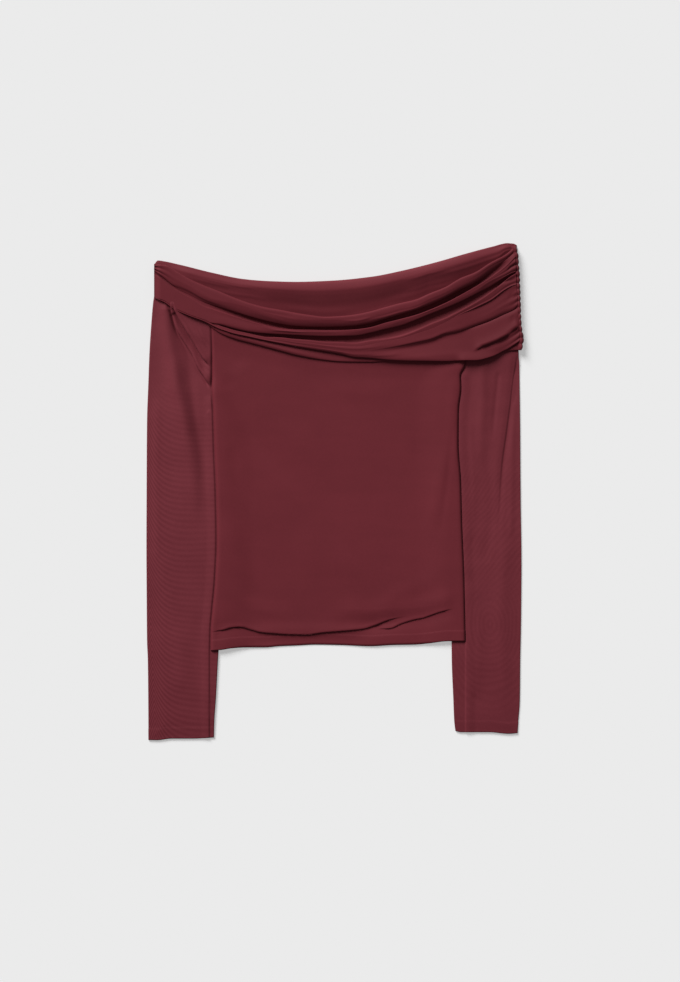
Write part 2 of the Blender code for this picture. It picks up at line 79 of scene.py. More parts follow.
# Lines that run along the neckline band, from the picture's left to its right. At each deep
# crease the cloth starts to fall, ends in a lip, and rises again as the next fold beyond a gap.
bandNames = (
    "x", "top", "fall1", "lip1", "rise1", "fall2", "lip2", "rise2", "crease3", "crease4", "edge", "under",
    "behind",
)
bandSections = [
    (-225.9, 284.4, 277.2, 272.7, 270.4, 243.4, 242.7, 242.4, 242.2, 242.1, 241.9, 240.9, 246),
    (-212.8, 282.8, 271.6, 264.6, 261.8, 239.1, 238.2, 237.7, 237.2, 236.8, 236.4, 235.2, 238.9),
    (-200.3, 275.9, 264.7, 255.7, 251.9, 230.3, 229.4, 228.9, 228.4, 228.1, 227.6, 226.7, 231.9),
    (-181.6, 264.9, 254.7, 246.9, 241.4, 221.8, 220.9, 220.6, 220.2, 219.9, 219.4, 218.4, 222.1),
    (-162.8, 256.6, 243.4, 236.9, 230.2, 214.9, 214.1, 213.7, 213.3, 212.9, 212.4, 211.4, 215.4),
    (-152.8, 252.6, 239.3, 233.2, 227.1, 211.4, 210.2, 208.4, 207.9, 207.6, 207.2, 204.2, 211.9),
    (-144.1, 249.3, 237.2, 230.4, 224.3, 210.9, 208.7, 204.2, 203.8, 203.6, 203.2, 198.3, 208.5),
    (-125.3, 241.4, 233.4, 224.7, 218.1, 206.8, 203.8, 198.7, 198.2, 197.8, 197.2, 190.8, 202.1),
    (-106.6, 234.7, 228.1, 218.9, 212.2, 202.8, 199.8, 195.2, 194.4, 193.9, 193.2, 185.9, 196.8),
    (-87.8, 229.7, 222.7, 213.8, 207.2, 200.6, 197.7, 192.7, 191.6, 190.4, 188.9, 181, 192),
    (-69.1, 226.4, 217.7, 209.6, 203.4, 199.3, 196.7, 192.1, 189.8, 187.7, 184.9, 176, 187.8),
    (-50.3, 222.8, 214.1, 206.9, 201.8, 198.2, 195.7, 190.1, 187.1, 184.4, 181.2, 171, 184),
    (-31.6, 219.9, 213.2, 205.9, 201.6, 197.7, 194.8, 188.7, 185.2, 181.7, 178.2, 167.3, 181),
    (-12.8, 217.8, 213.2, 205.6, 201.2, 197.2, 194.2, 186.7, 182.6, 179.1, 175.3, 164.5, 178.8),
    (5.9, 218.6, 213.2, 206.2, 201.2, 196.9, 194.4, 186.2, 181.2, 176.4, 172.2, 162.7, 177),
    (24.7, 220.6, 212.7, 207.4, 202.1, 198.8, 195, 185.1, 180.6, 174.9, 168.1, 162.3, 176),
    (43.4, 224.4, 215.7, 210.5, 204.6, 202.1, 198.4, 188.2, 182.8, 175.9, 167, 162.1, 175),
    (62.2, 229.7, 219.6, 215.9, 210.2, 206.3, 203.1, 190.3, 187.2, 178.3, 165.1, 162.9, 174.5),
    (80.9, 234.7, 225.2, 221.3, 214.9, 211.8, 207.4, 193.8, 190.3, 181.4, 163.9, 163.2, 174),
    (99.7, 239.1, 230.2, 227, 219.9, 217.1, 214.3, 200.4, 195.9, 185.1, 163.5, 163.4, 174),
    (118.4, 247.2, 239.3, 233.8, 226.7, 224.9, 221.9, 208.6, 201.6, 189.1, 163.2, 163.9, 174),
    (137.2, 254.8, 247.3, 242.4, 234.9, 232.4, 229.3, 216, 210.3, 196.4, 163, 165.3, 174),
    (155.9, 265.8, 257.4, 252, 244.7, 240.6, 237.2, 225.6, 220.9, 200.6, 163.9, 167.8, 174.1),
    (174.7, 273.4, 267.3, 261, 255.3, 249.9, 246.6, 235.7, 229.3, 206.8, 164.1, 170.9, 174.5),
    (193.4, 285.3, 280.1, 273.6, 266.7, 261.7, 256.3, 247.8, 238.4, 213.6, 168.3, 173.4, 175),
    (212.2, 295.2, 290.7, 287.2, 280.7, 270.3, 268.1, 263.2, 252.1, 222.7, 177.8, 175.9, 176.4),
    (219.7, 300.2, 295.6, 292.8, 287.7, 274.4, 272.2, 268.7, 256.2, 226.7, 184.1, 176.4, 177.2),
    (225.9, 304.8, 300.2, 298.1, 293.6, 276.9, 274.9, 271.9, 258.2, 231.7, 189.1, 176.7, 178),
]

band = {name: lineThrough(bandSections, i) for i, name in enumerate(bandNames) if i}

# The folded top edge of the back, and the seam inside it, as (x, y).
backTop = lineThrough([
    (-226.6, 278), (-225.5, 284.5), (-221.5, 289), (-214, 288), (-194, 283.5), (-154, 273.5),
    (-114, 265.5), (-84, 263), (-49, 262), (-4, 263.5), (46, 268.5), (86, 276.5),
    (126, 286.5), (166, 298), (196, 306), (216, 310.5), (223.5, 308.5), (228, 306),
])
backSeam = lineThrough([
    (-226, 269), (-190, 254), (-161.5, 243.5), (-106.5, 234), (-44, 229), (-6.5, 230.5),
    (26, 233), (61, 236.5), (106, 243.5), (162, 256), (190, 269), (228, 288),
])

# The body's hem as (x, y) and its sides as (y, x).
hemLine = lineThrough([
    (-155.5, -198), (-143, -197), (-129, -195), (-111.5, -194), (-88, -194),
    (-70.5, -192.5), (-46.5, -191.5), (-25.5, -190.5), (6, -191), (44.5, -192.5),
    (72, -191), (98.5, -190.5), (116, -189), (143.5, -186), (162, -186),
])
bodyRight = lineThrough([
    (-198, -155.5), (-173, -155), (-148, -153), (-110.5, -149.5), (-60.5, -147.5),
    (2, -148.5), (52, -150.5), (102, -152), (133.5, -154), (164.5, -153.5),
    (196, -154), (217, -156), (249.5, -163), (270, -168),
])
bodyLeft = lineThrough([
    (-186, 162.5), (-113, 161), (-38, 158), (14.5, 156.5), (58.5, 153.5), (102, 154),
    (129.5, 157), (144.5, 156.5), (158.5, 161.5), (183.5, 158.5), (208.5, 159.5), (236, 161.5),
    (257, 164), (280, 167),
])

# Each sleeve's fold lines as (y, x), and its cuff as (x, y).
rightInner = lineThrough([
    (-311, -150.5), (-288, -150), (-258, -148), (-210.5, -145.5), (-185.5, -144),
    (-60.5, -143), (14.5, -143), (83.5, -144.5), (100, -148.5), (112, -153), (124, -156),
])
rightOuter = lineThrough([
    (-311, -233.7), (-260.5, -234), (-210.5, -234.5), (-185.5, -235.5), (-135.5, -236),
    (-60.5, -236.25), (14.5, -236), (89.5, -235.5), (133.5, -234), (174.5, -232),
    (212, -229.5), (239.5, -227), (247, -225.8), (258.5, -225), (290, -224),
])
leftInner = lineThrough([
    (-303, 149.5), (-285.5, 147.5), (-260.5, 146.5), (-210.5, 144.5), (-160.5, 144),
    (-85.5, 143.5), (-10.5, 143), (64.5, 142), (114.5, 142), (134, 145), (146, 151),
    (158, 162.5),
])
leftOuter = lineThrough([
    (-303, 228), (-288, 229), (-260.5, 231), (-210.5, 231.5), (-160.5, 232.5),
    (-85.5, 233), (-10.5, 232), (64.5, 231.5), (114.5, 231), (158.5, 230.5), (180, 228.5),
    (202, 226.5), (233.5, 224.5), (258.5, 223), (300, 219.5),
])
rightCuff = lineThrough([(-234, -310.2), (-223, -310.5), (-204.5, -308.5), (-179.5, -308.5), (-149.5, -307)])
leftCuff = lineThrough([(149, -298.5), (157, -300.5), (192, -300.5), (217, -302.5), (229, -301.5)])

# The side channel as (y, seam, outer edge).
channelPoints = [
    (176.5, 230.4, 233.4), (183.5, 230.6, 234.6), (191, 230.4, 235.6), (198.5, 230, 234.4),
    (207, 229.5, 233), (222, 228.6, 232.2), (237, 227.6, 231.8), (258.5, 226.4, 231),
    (274.5, 225.6, 230.4), (282, 225.4, 229.6), (297, 224.2, 228.6), (305, 222.6, 226.6),
]
channelSeam = lineThrough(channelPoints, 1)
channelOuter = lineThrough(channelPoints, 2)


def smooth(t):
    t = np.clip(t, 0, 1)
    return t * t * (3 - 2 * t)


# A smooth step, from 0 at its start to 1 a length further on, or further down if that is below zero.
def ramp(value, start, length):
    return smooth((value - start) / length)


def frontSeam(x):
    return band["top"](x) - 0.5 * (band["top"](x) - band["rise1"](x))


# How high each layer lies. The back one steps up over the band that runs behind it.
def backLevel(x, y):
    over = ramp(y, band["behind"](x) - 37, 36)
    return cloth["floorMiddle"] + (cloth["layer"] + 0.25) * over


def frontLevel(x, y):
    over = ramp(y, band["behind"](x) - 37, 36)
    return 0.55 + cloth["layer"] * (1 + over)


# The body's sides lie on the sleeves' inner edges below the underarms.
def overSleeves(x, y):
    right = ramp(x, rightInner(y) + 13, -12) * ramp(y, cloth["underarmRight"] + 16, -18)
    left = ramp(x, leftInner(y) - 13, 12) * ramp(y, cloth["underarmLeft"] + 16, -18)
    return 2 * cloth["layer"] * np.maximum(right, left)


# The body's panels fall from there to the table over a hand's width.
def tented(x, y):
    right = ramp(x, rightInner(y) + 43, -42) * ramp(y, cloth["underarmRight"] + 20, -26)
    left = ramp(x, leftInner(y) - 43, 42) * ramp(y, cloth["underarmLeft"] + 20, -26)
    return 2 * cloth["layer"] * np.maximum(right, left)


def ground(x, y):
    return frontLevel(x, y) + overSleeves(x, y)


# Points on a net between two side lines, row by row from the lower edge to the upper one.
def netOf(near, far, across, rows):
    xs = []
    ys = []
    for row in rows:
        x = near(0) + (far(0) - near(0)) * across
        for _ in range(6):
            y = row(x)
            x = near(y) + (far(y) - near(y)) * across
        xs.append(x)
        ys.append(row(x))
    return np.array(xs).T, np.array(ys).T


# Rows that follow the lower edge first, then fixed levels, then the upper edge.
def rowsBetween(lower, upper, steps, levels, ends):
    rows = [lambda q, d=d: lower(q) + d for d in steps]
    rows += [lambda q, d=d: np.full_like(q, d) for d in levels]
    rows += [lambda q, d=d: levels[-1] + (upper(q) - levels[-1]) * d for d in ends]
    return rows


# A path through a fold's points, with its direction.
def densePath(points):
    count = 140
    points = np.asarray(points, dtype=float)
    t = np.concatenate([[0], np.cumsum(np.hypot(*np.diff(points, axis=0).T))])
    s = np.linspace(0, t[-1], count)
    x = SmoothLine(t, points[:, 0])(s)
    y = SmoothLine(t, points[:, 1])(s)
    dx = np.gradient(x)
    dy = np.gradient(y)
    length = np.hypot(dx, dy)
    return x, y, dx / length, dy / length, t[-1]


# Where each point of a sheet lies beside a fold: its share along and its distance to the left.
def besideFold(path, points, reach):
    x, y, dx, dy, length = densePath(path)
    flat = points.reshape(-1, 3)
    inside = (flat[:, 0] > x.min() - reach) & (flat[:, 0] < x.max() + reach)
    inside &= (flat[:, 1] > y.min() - reach) & (flat[:, 1] < y.max() + reach)
    index = np.flatnonzero(inside)
    ox = flat[index, 0][:, None] - x
    oy = flat[index, 1][:, None] - y
    best = np.argmin(ox * ox + oy * oy, axis=1)
    rows = np.arange(len(index))
    ox = ox[rows, best]
    oy = oy[rows, best]
    past = (best == 0) | (best == len(x) - 1)
    along = best / (len(x) - 1) + (ox * dx[best] + oy * dy[best]) / length * past
    side = ox * -dy[best] + oy * dx[best]
    return index, along, side, np.stack([-dy[best], dx[best]], axis=1)


# Folds pressed into a sheet. A pleat swells on the left of its path and hangs over its foot there,
# and a soft fold is a low ridge, or a trough where its rise is below zero.
def addFolds(points, table):
    shape = points.shape
    flat = points.reshape(-1, 3).copy()
    for row in table:
        reach = 5 * max(row.get("fade", 0), row.get("width", 0)) + 6
        index, along, side, normal = besideFold(row["path"], flat, reach)
        start, end = row["taper"]
        taper = smooth((along + 0.02) / start) * smooth((1.02 - along) / end)
        if "lip" in row:
            lip = row["lip"]
            rising = smooth((side + lip * 0.5) / lip)
            height = rising * np.exp(-np.maximum(side - lip * 0.5, 0) / row["fade"])
            bend = np.where(np.abs(side) < lip, np.sin(np.pi * side / lip), 0)
            flat[index, :2] -= normal * (bend * row["lean"] * taper)[:, None]
            flat[index, 2] += row["rise"] * taper * height
            flat[index, 2] -= row.get("dip", 0) * taper * np.exp(-((side + lip * 0.6) / lip) ** 2)
        else:
            flat[index, 2] += row["rise"] * taper * np.exp(-((side / row["width"]) ** 2))
    return flat.reshape(shape)


# A low ridge along a path, or a trough. Its ends are the shares of the path where it grows and dies out.
def softFold(rise, width, ends, *path):
    return {"path": path, "rise": rise, "width": width, "taper": ends}


# Slow swells over a sheet, from a few long waves that cross it.
def addSwell(points, size, height, seed):
    rng = np.random.default_rng(seed)
    x = points[..., 0]
    y = points[..., 1]
    total = np.zeros(x.shape)
    for _ in range(7):
        angle = rng.uniform(0, 2 * math.pi)
        pitch = size * rng.uniform(0.7, 1.6)
        phase = rng.uniform(0, 2 * math.pi)
        total += np.sin((x * math.cos(angle) + y * math.sin(angle)) * 2 * math.pi / pitch + phase)
    points[..., 2] += height * (0.5 + total / 9)
    return points


def gridFaces(columns, rows):
    i, j = np.meshgrid(np.arange(columns - 1), np.arange(rows - 1), indexing="ij")
    a = (i * rows + j).ravel()
    b = a + rows
    return np.stack([a, b, b + 1, a + 1], axis=1)


# Distances in metres along and across a grid of points, for the weave.
def gridLengths(points):
    across = np.linalg.norm(np.diff(points, axis=0), axis=2)
    along = np.linalg.norm(np.diff(points, axis=1), axis=2)
    u = np.vstack([np.zeros(points.shape[1]), np.cumsum(across, axis=0)])
    v = np.hstack([np.zeros((points.shape[0], 1)), np.cumsum(along, axis=1)])
    return np.stack([u, v], axis=-1) * 0.001


# A thin closed wall round a sheet's middle, with a rim along each free edge.
def wallRound(points, faces, wall):
    count = len(points)
    corner = points[faces]
    across = np.cross(corner[:, 2] - corner[:, 0], corner[:, 3] - corner[:, 1])
    normals = np.zeros_like(points)
    for k in range(4):
        np.add.at(normals, faces[:, k], across)
    normals /= np.maximum(np.linalg.norm(normals, axis=1, keepdims=True), 1e-12)
    shell = np.vstack([points + normals * wall / 2, points - normals * wall / 2])
    edges = np.concatenate([faces[:, [k, (k + 1) % 4]] for k in range(4)])
    low = np.sort(edges, axis=1)
    key = low[:, 0].astype(np.int64) * (count + 1) + low[:, 1]
    _, first, uses = np.unique(key, return_index=True, return_counts=True)
    free = edges[first[uses == 1]]
    rim = np.stack([free[:, 1], free[:, 0], free[:, 0] + count, free[:, 1] + count], axis=1)
    return shell, np.vstack([faces, faces[:, ::-1] + count, rim])


def linked(name, data):
    piece = bpy.data.objects.new(name, data)
    bpy.context.scene.collection.objects.link(piece)
    return piece


def meshPiece(name, points, faces, uv, material, wall=cloth["wall"]):
    shell, solid = wallRound(points, faces, wall)
    mesh = bpy.data.meshes.new(name)
    mesh.vertices.add(len(shell))
    mesh.vertices.foreach_set("co", (shell * 0.001).ravel())
    mesh.loops.add(len(solid) * 4)
    mesh.loops.foreach_set("vertex_index", solid.ravel())
    mesh.polygons.add(len(solid))
    mesh.polygons.foreach_set("loop_start", np.arange(0, len(solid) * 4, 4))
    mesh.update(calc_edges=True)
    layer = mesh.uv_layers.new(name="cloth")
    both = np.vstack([uv, uv])
    layer.data.foreach_set("uv", both[solid.ravel()].ravel())
    mesh.polygons.foreach_set("use_smooth", np.ones(len(solid), dtype=bool))
    mesh.validate()
    mesh.materials.append(material)
    return linked(name, mesh)


# A grid of points as one piece. Its rows start at the lower edge, or at the upper one if turned.
def gridPiece(name, points, material, wall=cloth["wall"], turned=False):
    faces = gridFaces(*points.shape[:2])
    if turned:
        faces = faces[:, ::-1]
    uv = gridLengths(points)
    return meshPiece(name, points.reshape(-1, 3), faces, uv.reshape(-1, 2), material, wall)


def dress(piece, node):
    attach(piece, "root")
    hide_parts(node)


# Shader sockets as numbers: an expression on them adds its Math nodes.
class Value:
    def __init__(self, build, socket):
        self.build = build
        self.socket = socket

    def math(self, operation, *others):
        return self.build.node("ShaderNodeMath", {"operation": operation}, dict(enumerate((self,) + others)))

    def __add__(self, other):
        return self.math("ADD", other)

    __radd__ = __add__

    def __sub__(self, other):
        return self.math("SUBTRACT", other)

    def __rsub__(self, other):
        return self.build.node("ShaderNodeMath", {"operation": "SUBTRACT"}, {0: other, 1: self})

    def __mul__(self, other):
        return self.math("MULTIPLY", other)

    __rmul__ = __mul__

    def __truediv__(self, other):
        return self.math("DIVIDE", other)

    def sine(self):
        return self.math("SINE")

    def power(self, other):
        return self.math("POWER", other)

    def most(self, other):
        return self.math("MAXIMUM", other)

    def share(self):
        return self.most(0).math("MINIMUM", 1)


class Build:
    def __init__(self, name):
        self.material = bpy.data.materials.new(name)
        self.material.use_nodes = True
        self.tree = self.material.node_tree
        self.shader = self.tree.nodes["Principled BSDF"]

    def node(self, kind, settings=None, sockets=None, output=0):
        made = self.tree.nodes.new(kind)
        for key, value in (settings or {}).items():
            setattr(made, key, value)
        for key, value in (sockets or {}).items():
            self.put(made.inputs[key], value)
        return Value(self, made.outputs[output])

    def put(self, socket, value):
        if isinstance(value, Value):
            self.tree.links.new(value.socket, socket)
        else:
            socket.default_value = value

    def feed(self, name, value):
        self.put(self.shader.inputs[name], value)

    # The first two parts of a vector.
    def parts(self, vector):
        first = self.node("ShaderNodeSeparateXYZ", None, {"Vector": vector})
        return first, Value(self, first.socket.node.outputs[1])

    def noise(self, place, scale, detail=2, rough=0.5):
        sockets = {"Vector": place, "Scale": scale, "Detail": detail, "Roughness": rough}
        return self.node("ShaderNodeTexNoise", {"noise_dimensions": "3D"}, sockets)

    def blend(self, share, first, second):
        settings = {"data_type": "RGBA", "blend_type": "MIX"}
        return self.node("ShaderNodeMix", settings, {"Factor": share, 6: first, 7: second}, output=2)


meshCloth = {
    "light": (0.143, 0.0190, 0.0272, 1.0),  # the mesh's lighter tone
    "dark": (0.099, 0.0120, 0.0178, 1.0),  # its deeper tone
    "roughness": 0.66,
    "sheen": 0.03,
    "sheenRoughness": 0.5,
    "sheenTint": (1.0, 0.62, 0.66, 1.0),
    "netPitch": 0.0009,  # metres between the holes of the net
    "netDepth": 0.00006,
}


# Burgundy mesh: slow changes of tone that darken towards the hem and cuffs, a fine net in relief, and faint
# bands where two layers of the net beat against each other. The drape gets painted shade towards its gathered
# end in place of the bands.
def makeMesh(name, bandsAndShade=None, light=meshCloth["light"], dark=meshCloth["dark"]):
    build = Build(name)
    place = build.node("ShaderNodeTexCoord", output=3)
    uv = build.node("ShaderNodeUVMap", {"uv_map": "cloth"})
    across, along = build.parts(uv)
    px, py = build.parts(place)
    slow = build.noise(place, 14, 3, 0.55)
    fine = build.noise(place, 420, 2, 0.6)
    streak = build.node("ShaderNodeVectorMath", {"operation": "MULTIPLY"}, {0: place, 1: (9.0, 60.0, 30.0)})
    streaks = build.noise(streak, 1, 2, 0.5)
    lower = ((py * -1 - 0.02) / 0.28).share()
    tone = slow * 0.55 + streaks * 0.30 + fine * 0.40 - 0.02 - lower * 0.30
    # Extra tone: the sleeves' beat bands, and the drape's painted shade.
    if bandsAndShade:
        tone = tone + bandsAndShade(build, px, py)
    tone = tone.share()
    build.feed("Base Color", build.blend(tone, dark, light))
    build.feed("Roughness", fine * 0.12 + (meshCloth["roughness"] - 0.06))
    turn = 2 * math.pi / meshCloth["netPitch"]
    net = (across * turn).sine() * (along * turn).sine()
    relief = net * 0.5 + fine * 0.9
    bump = {"Strength": 0.35, "Distance": meshCloth["netDepth"], "Height": relief}
    build.feed("Normal", build.node("ShaderNodeBump", None, bump))
    build.feed("Sheen Weight", meshCloth["sheen"])
    build.feed("Sheen Roughness", meshCloth["sheenRoughness"])
    build.feed("Sheen Tint", meshCloth["sheenTint"])
    build.feed("Specular IOR Level", 0.12)
    return build.material


# Beats of the doubled net on the sleeve at the picture's left: chevrons along its outer edge.
def chevrons(build, x, y):
    out = x * 1000 + 235
    low = ((y * -1000 - 60) / 250).most(0)
    apex = out - low * 11
    rightward = apex.most(0)
    leftward = (apex * -1).most(0)
    fall = (rightward * -0.075).math("EXPONENT")
    drop = (1 - fall) * 44 + leftward * 2.6
    waver = build.noise(build.node("ShaderNodeTexCoord", output=3), 9, 1) * 16
    phase = (y * 1000 + drop + waver) * (2 * math.pi / 7)
    strength = (rightward * -0.05).math("EXPONENT") * 0.34 + 0.07
    fade = ((150 - y * 1000) / 80).share()
    return phase.sine() * strength * fade


# Fainter beats on the other sleeve: slanting above, and rings near the cuff.
def slants(build, x, y):
    across = x * 1000
    up = y * 1000
    waver = build.noise(build.node("ShaderNodeTexCoord", output=3), 11, 2) * 60
    slant = ((up - across * 1.3 + waver) * (2 * math.pi / 9)).sine()
    above = ((60 - up) / 60).share() * ((up + 150) / 60).share()
    side = (across - 193) / 0.62
    ring = (side * side + (up + 165) * (up + 165)).power(0.5)
    rings = ((ring + waver * 0.6) * (2 * math.pi / 8.5)).sine()
    below = ((up * -1 - 110) / 40).share() * ((up + 292) / 40).share()
    return slant * above * 0.10 + rings * below * 0.08


# Painted shade: the drape's net darkens towards its gathered end, in place of the shade that falls among its
# fine gathers.
def paintedGatherShade(build, x, y):
    return ((x * 1000 - 90) / 120).share() * -0.45


print("materials")
bodyMesh = makeMesh("body_mesh")
# The drape's colour carries painted shade towards its gathered end.
drapeMesh = makeMesh(
    "drape_mesh", paintedGatherShade, light=(0.136, 0.0179, 0.0257, 1.0), dark=(0.094, 0.0112, 0.0166, 1.0)
)
rightSleeveMesh = makeMesh(
    "right_sleeve_mesh", chevrons, light=(0.165, 0.0275, 0.0375, 1.0), dark=(0.100, 0.0125, 0.0190, 1.0)
)
leftSleeveMesh = makeMesh(
    "left_sleeve_mesh", slants, light=(0.160, 0.0262, 0.0360, 1.0), dark=(0.100, 0.0125, 0.0190, 1.0)
)
insideMesh = makeMesh("inside_mesh", light=(0.150, 0.0215, 0.0300, 1.0), dark=(0.095, 0.0118, 0.0172, 1.0))
threadCloth = makeMesh("thread", light=(0.16, 0.030, 0.040, 1.0), dark=(0.115, 0.018, 0.026, 1.0))

print("body")
bodyPanels = {
    "hemFolds": [
        {
            "path": [
                (-152, -174.8), (-137.5, -171.3), (-127, -168.3), (-118, -168.3), (-107.5, -171),
                (-95.5, -174.5), (-81, -176), (-55, -177.6), (-37.5, -177.8), (-14.5, -175),
                (19.5, -172.3), (37, -170.3), (51.5, -165.6), (65.5, -160.2), (84, -156.3),
            ],
            "rise": 1.7, "lean": 1.5, "lip": 2, "fade": 7, "taper": (0.10, 0.16),
        },
        {
            "path": [(53, -171.5), (69, -170.3), (84.5, -163.8), (102, -158.6), (120, -156)],
            "rise": 1.3, "lean": 1.1, "lip": 1.9, "fade": 6, "taper": (0.2, 0.25),
        },
        {
            "path": [(108, -158.5), (119, -154), (132, -149.5), (146, -146)],
            "rise": 1.1, "lean": 0.9, "lip": 1.8, "fade": 6, "taper": (0.3, 0.3),
        },
    ],
    "softFolds": [
        softFold(-0.9, 8, (0.3, 0.2), (-122, -187), (-90, -188), (-50, -189), (0, -188), (48, -186)),
        softFold(1.2, 8, (0.3, 0.2), (-122, -171), (-90, -172), (-50, -173), (0, -172), (48, -169)),
        softFold(-0.8, 9, (0.3, 0.08), (-10, -166), (50, -166), (100, -161), (146, -150)),
        softFold(0.8, 9, (0.3, 0.08), (-10, -148), (50, -148), (100, -143), (146, -132)),
        softFold(-1.25, 11, (0.05, 0.3), (-152, -176), (-127, -169.6), (-107.5, -172.3), (-81, -177.2),
                 (-37.5, -179), (19.5, -173.6), (51.5, -167), (84, -158), (120, -153)),
        softFold(-1.3, 12, (0.1, 0.5), (-140, 145), (-110, 79), (-67, 25), (-35, -5)),
        softFold(0.8, 16, (0.1, 0.5), (-125, 160), (-85, 95), (-45, 55), (0, 20)),
        softFold(-0.7, 9, (0.3, 0.4), (-132, 60), (-121, 8), (-95, -12)),
        softFold(0.7, 12, (0.3, 0.3), (-142, -30), (-118, -95), (-104, -130)),
        softFold(0.7, 9, (0.3, 0.5), (-138, -110), (-112, -138), (-80, -150), (-40, -157)),
        softFold(0.7, 6.5, (0.15, 0.5), (150, 145), (146, 100), (147, 50), (149, 10)),
        softFold(-0.5, 3, (0.3, 0.4), (149, 98), (144, 50), (134, -30), (128, -60)),
        softFold(0.5, 8, (0.3, 0.4), (140, 60), (128, 0), (118, -60)),
        softFold(-0.22, 1.1, (0.3, 0.3), (41, 48), (75, 50.5), (112, 49)),
        softFold(0.6, 14, (0.4, 0.4), (-10, 150), (20, 128), (80, 120)),
        softFold(0.6, 11, (0.4, 0.4), (40, -155), (80, -128), (130, -105)),
        softFold(0.5, 18, (0.4, 0.4), (-60, -60), (-10, -90), (60, -100)),
    ],
    "hemTurn": 12.5,  # how far the hem is turned up
    "edgeCurl": 1.1,  # how far the side seams turn the edges down
}


def bodyNet(neck, lower, columns, steps, levels, ends):
    side = np.linspace(0, 34, 12) / 310
    middle = np.linspace(side[-1], 1 - side[-1], columns)
    across = np.concatenate([side[:-1], middle, 1 - side[:-1][::-1]])
    rows = rowsBetween(lower, neck, steps, levels, ends)
    return netOf(bodyRight, bodyLeft, across, rows)


def frontPanel():
    steps = np.linspace(0, 46, 74)
    levels = np.concatenate([np.linspace(-138, 100, 66), np.linspace(103, 200, 34)])
    x, y = bodyNet(lambda q: frontSeam(q) - 0.3, hemLine, 118, steps, levels, [0.25, 0.5, 0.75, 1])
    z = frontLevel(x, y) + 0.66 * tented(x, y)
    above = y - hemLine(x)
    z = z + 0.30 * ramp(above, bodyPanels["hemTurn"] + 1, -2)
    # The side seams turn the edges down, and so does the hem's fold.
    toEdge = np.minimum(x - bodyRight(y), bodyLeft(y) - x)
    z = z - bodyPanels["edgeCurl"] * (1 - ramp(toEdge, -0.4, 2.4)) * ramp(y, 170, -20)
    z = z - 0.8 * (1 - smooth(above / 2.2)) * (1 - tented(x, y) / (2 * cloth["layer"]))
    points = np.stack([x, y, z], axis=-1)
    points = addFolds(points, bodyPanels["softFolds"])
    points = addFolds(points, bodyPanels["hemFolds"])
    points = addSwell(points, 110, 0.40, 4)
    points = addSwell(points, 34, 0.05, 9)
    piece = gridPiece("front_panel_shell", points, bodyMesh)
    dress(piece, "front_panel")
    return points


def backPanel():
    steps = np.linspace(0, 40, 12)
    levels = np.concatenate([np.linspace(-138, 90, 22), np.linspace(96, 200, 20)])
    ends = np.linspace(0.12, 1, 8)
    x, y = bodyNet(lambda q: backSeam(q) - 0.2, lambda q: hemLine(q) - 0.7, 50, steps, levels, ends)
    points = np.stack([x, y, backLevel(x, y) + 0.78 * overSleeves(x, y)], axis=-1)
    piece = gridPiece("back_panel_shell", points, insideMesh)
    dress(piece, "back_panel")


frontPoints = frontPanel()
backPanel()

